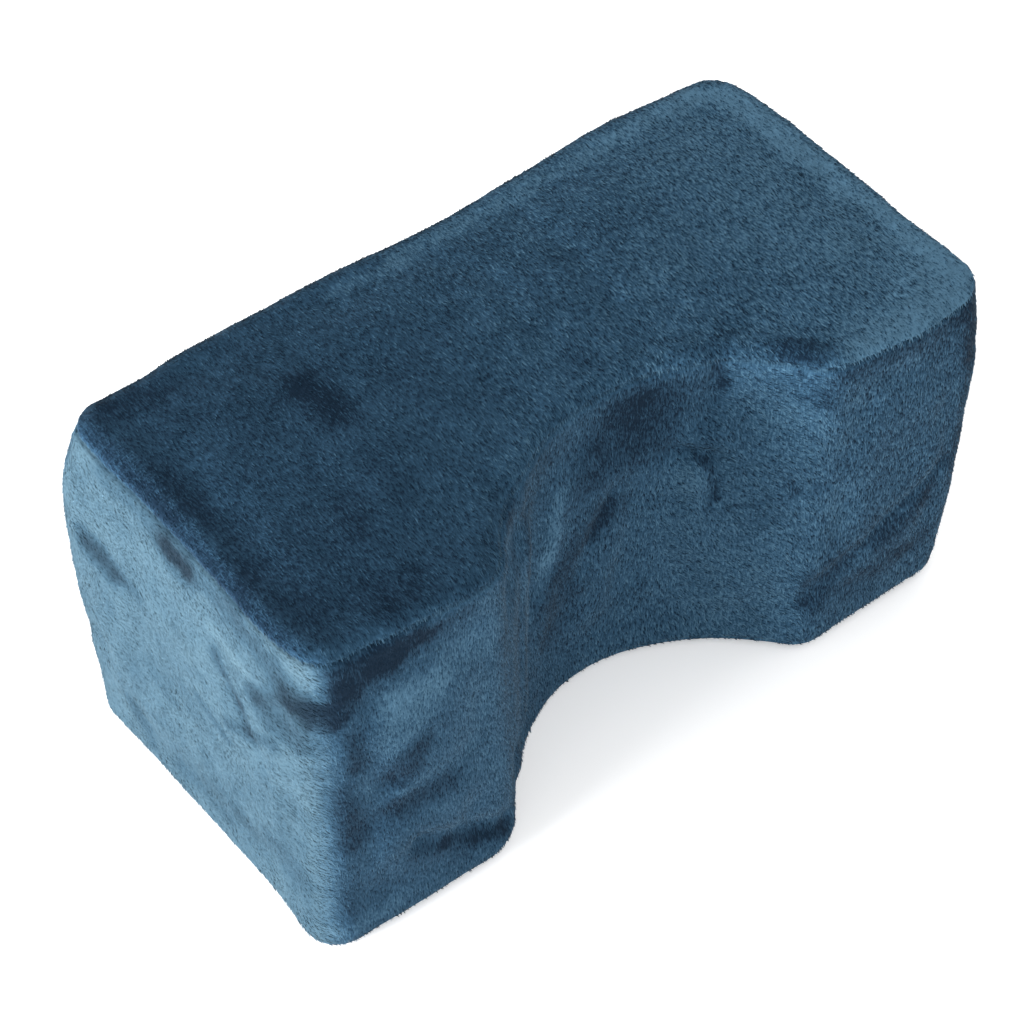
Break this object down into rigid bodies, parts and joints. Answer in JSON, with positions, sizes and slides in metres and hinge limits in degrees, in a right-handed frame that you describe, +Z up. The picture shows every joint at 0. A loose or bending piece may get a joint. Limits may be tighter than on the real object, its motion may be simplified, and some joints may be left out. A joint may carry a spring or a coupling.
{
  "type": "knee pillow",
  "caption": "Block-shaped knee pillow in a loose blue plush cover, with one long side hollowed in a round curve for the leg.",
  "frame": {"origin": "middle of the pillow's bounding box, at the level of its lower panel", "axes": "+X along the pillow's length, +Y from the hollowed long side to the plain one, +Z up from the lower panel"},
  "size_m": [0.3172, 0.1654, 0.166],
  "materials": {
    "plush": "soft matte plush with a directional nap"
  },
  "bodies": {
    "root": {"pillow": "plush"}
  },
  "joints": []
}
